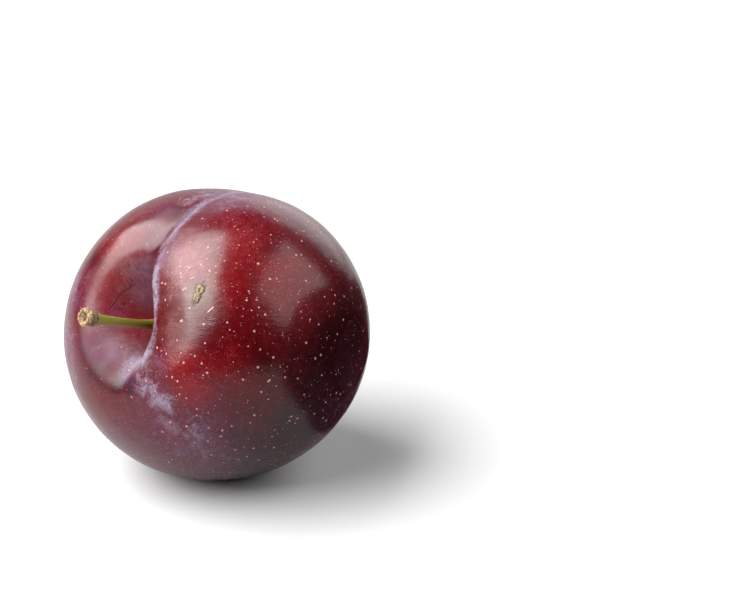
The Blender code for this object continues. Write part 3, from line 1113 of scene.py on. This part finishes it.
def make_softbox(middle, name, azimuth, elevation, roll, size, radiance):
    """A rectangular soft box that faces the plum; roll turns it about its own axis."""
    towards = direction(azimuth, elevation)
    width, height = size
    data = bpy.data.lights.new(name, "AREA")
    data.shape = "RECTANGLE"
    data.size = width
    data.size_y = height
    data.energy = radiance * math.pi * width * height
    light = add_object(name, data)
    light.location = middle + towards * BOX_DISTANCE
    turn = towards.to_track_quat("Z", "Y").to_matrix() @ Matrix.Rotation(math.radians(roll), 3, "Z")
    light.rotation_euler = turn.to_euler()


def make_world():
    """A dark studio with a pale backdrop behind the plum. Seen directly, it is all pale."""
    world = bpy.data.worlds.new("studio")
    bpy.context.scene.world = world
    nodes = Nodes(world)
    ray = nodes.position("Generated")
    light = STUDIO_DARK
    for azimuth, elevation, reach, softness, radiance in GLOWS:
        aligned = nodes.dot_product(ray, (0, 0, 0), direction(azimuth, elevation))
        outer, inner = [math.cos(math.radians(angle)) for angle in (reach + softness, reach - softness)]
        light = nodes.most(nodes.ramp(aligned, outer, inner, 0.0, radiance), light)
    background = nodes.tree.nodes["Background"]
    background.inputs["Color"].default_value = (1, 1, 1, 1)
    nodes.put(background.inputs["Strength"], nodes.ramp(nodes.seen(), 0.0, 1.0, light, 1.0))


def floor_material():
    """Plain and pale, and fading into the backdrop far from the plum."""
    paint = Paint("floor")
    seen = paint.seen()
    paint.colour(paint.mix(seen, FLOOR_LIT, FLOOR_SEEN))
    paint.roughness(FLOOR_ROUGHNESS)
    far = paint.ramp(paint.vector_math("LENGTH", paint.position())["Value"], *FLOOR_FADE)
    paint.shader.inputs["Emission Color"].default_value = (1, 1, 1, 1)
    paint.put(paint.shader.inputs["Emission Strength"], paint.times(far, seen))
    return paint.material


def make_plain(name, shape, material):
    """An object of the studio from a bmesh, which isn't part of the plum."""
    mesh = bpy.data.meshes.new(name)
    shape.to_mesh(mesh)
    shape.free()
    mesh.shade_smooth()
    mesh.materials.append(material)
    plain = add_object(name, mesh)
    return plain


def make_floor():
    sheet = bmesh.new()
    bmesh.ops.create_grid(sheet, x_segments=1, y_segments=1, size=FLOOR_HALF)
    make_plain("floor", sheet, floor_material())


def make_unseen(name, shape, colour, middle, azimuth, distance, height):
    """Something dark and dull beside the plum, which shows only as a reflection in it."""
    paint = Paint(name)
    paint.colour(colour)
    paint.roughness(1.0)
    unseen = make_plain(name, shape, paint.material)
    aside = direction(azimuth, 0) * distance
    unseen.location = (middle.x + aside.x, middle.y + aside.y, height)
    unseen.visible_camera = False
    unseen.visible_diffuse = False
    unseen.visible_shadow = False


def make_flag(middle, azimuth, distance, radius):
    """A dark ball beside the plum, which keeps the studio's light off the plum's right side."""
    ball = bmesh.new()
    bmesh.ops.create_icosphere(ball, subdivisions=4, radius=radius)
    make_unseen("flag", ball, BALL_DARK, middle, azimuth, distance, radius)


def make_card(middle, azimuth, distance, radius, height):
    """A dark disc low over the floor, which keeps the floor's light off the plum's lower right."""
    disc = bmesh.new()
    bmesh.ops.create_circle(disc, cap_ends=True, segments=64, radius=radius)
    make_unseen("card", disc, CARD_DARK, middle, azimuth, distance, height)


def make_camera(middle):
    turn = direction(VIEW_AZIMUTH, VIEW_ELEVATION).to_track_quat("Z", "Y")
    view_width = VIEW_DISTANCE * SENSOR_MM / LENS_MM
    aside = turn @ Vector((PLUM_LEFT * view_width, PLUM_BELOW * view_width, VIEW_DISTANCE))
    data = bpy.data.cameras.new("camera")
    data.lens = LENS_MM
    data.sensor_width = SENSOR_MM
    camera = add_object("camera", data)
    camera.location = middle + aside
    camera.rotation_euler = turn.to_euler()
    bpy.context.scene.camera = camera


fruit_offset = make_fruit()
plum_middle = Vector(fruit_offset)
make_stalk(fruit_offset)
make_camera(plum_middle)
for box in BOXES:
    make_softbox(plum_middle, *box)
for flag in FLAGS:
    make_flag(plum_middle, *flag)
make_card(plum_middle, *CARD)
make_world()
make_floor()
bpy.context.scene.view_settings.view_transform = "Standard"
